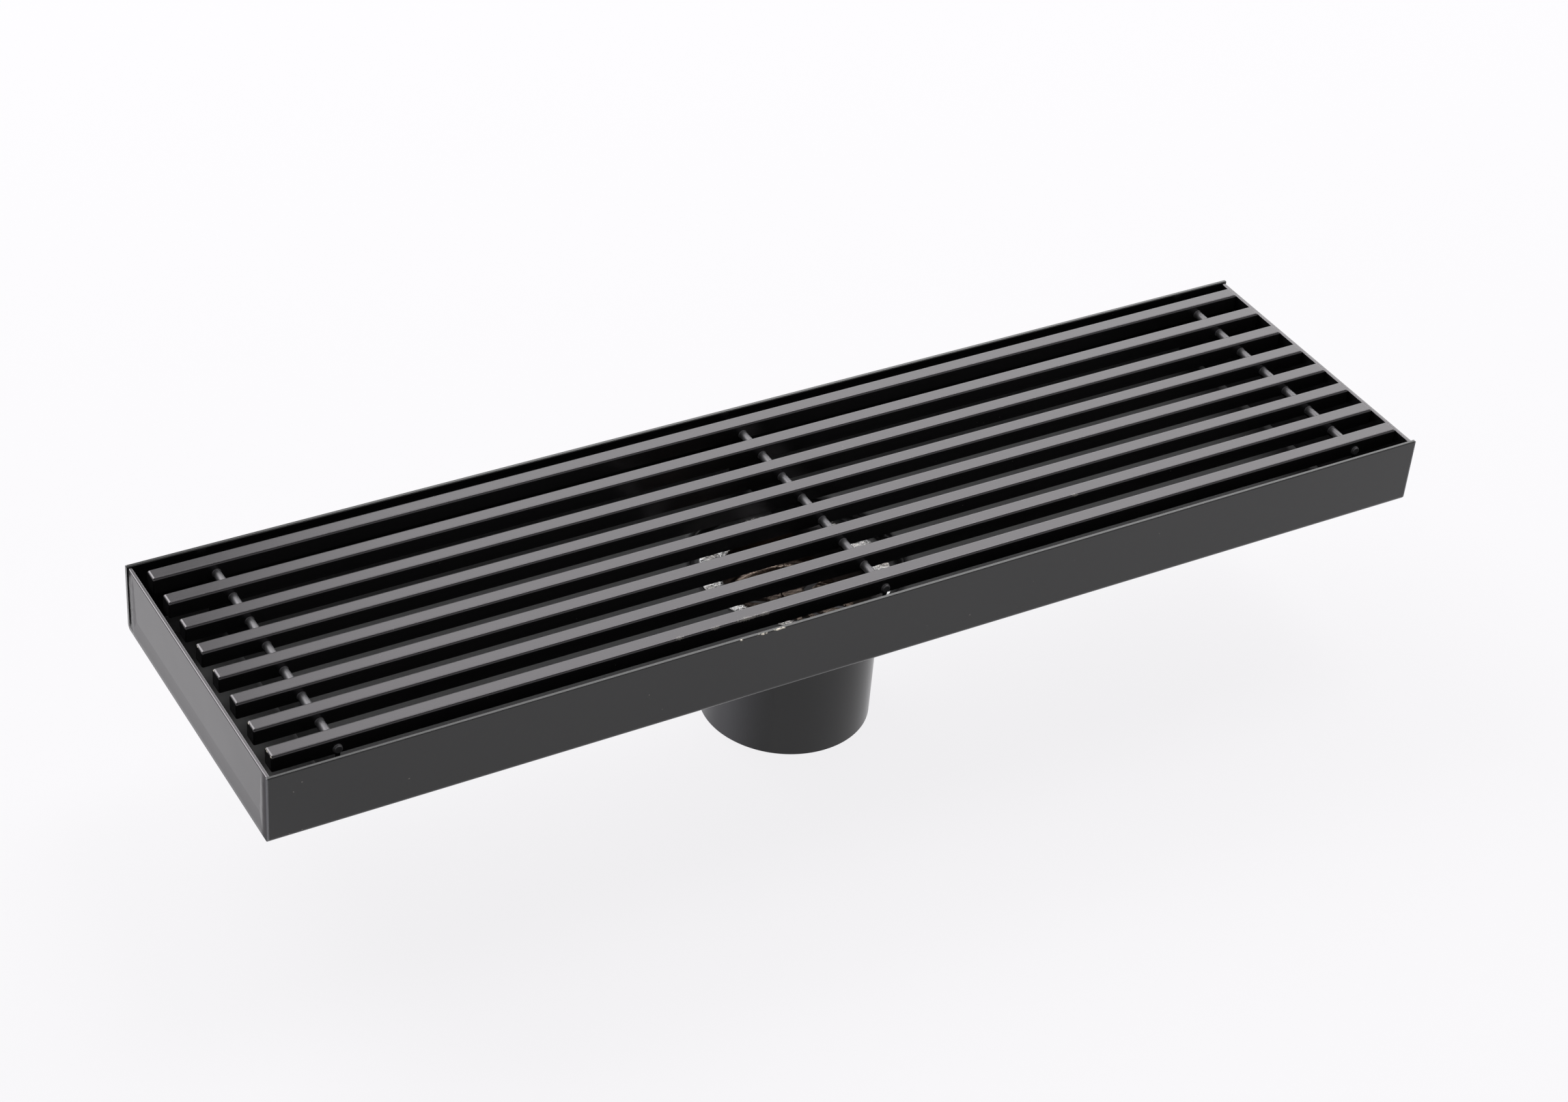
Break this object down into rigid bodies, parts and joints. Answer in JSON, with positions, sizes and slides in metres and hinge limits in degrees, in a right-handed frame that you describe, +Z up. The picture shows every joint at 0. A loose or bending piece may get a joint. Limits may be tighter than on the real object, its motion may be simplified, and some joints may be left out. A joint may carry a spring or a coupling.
{
  "type": "linear shower drain",
  "caption": "Shallow folded-steel shower channel with a lift-out slatted grate, a pressed sump, a round strainer and a straight vertical outlet spigot.",
  "frame": {"origin": "centre of the spigot's lower end, which is also the bottom centre of the whole drain", "axes": "+X along the tray to the end that the grate is pushed against, +Y across it to the back wall, +Z up out of the floor"},
  "size_m": [0.3, 0.08, 0.06],
  "materials": {
    "tray_coating": "satin black coating on sheet steel",
    "grate_coating": "satin black coating on steel bar",
    "polished_steel": "polished stainless steel"
  },
  "bodies": {
    "root": {"channel_tray": "tray_coating", "end_plate_left": "tray_coating", "end_plate_right": "tray_coating", "outlet_spigot": "tray_coating", "strainer": "polished_steel", "strainer_knob": "polished_steel", "grate_slat_1": "grate_coating", "grate_slat_2": "grate_coating", "grate_slat_3": "grate_coating", "grate_slat_4": "grate_coating", "grate_slat_5": "grate_coating", "grate_slat_6": "grate_coating", "grate_slat_7": "grate_coating", "grate_slat_8": "grate_coating", "cross_rod_left": "grate_coating", "cross_rod_middle": "grate_coating", "cross_rod_right": "grate_coating", "grate_rib_left": "grate_coating", "grate_rib_middle": "grate_coating", "grate_rib_right": "grate_coating"}
  },
  "joints": []
}
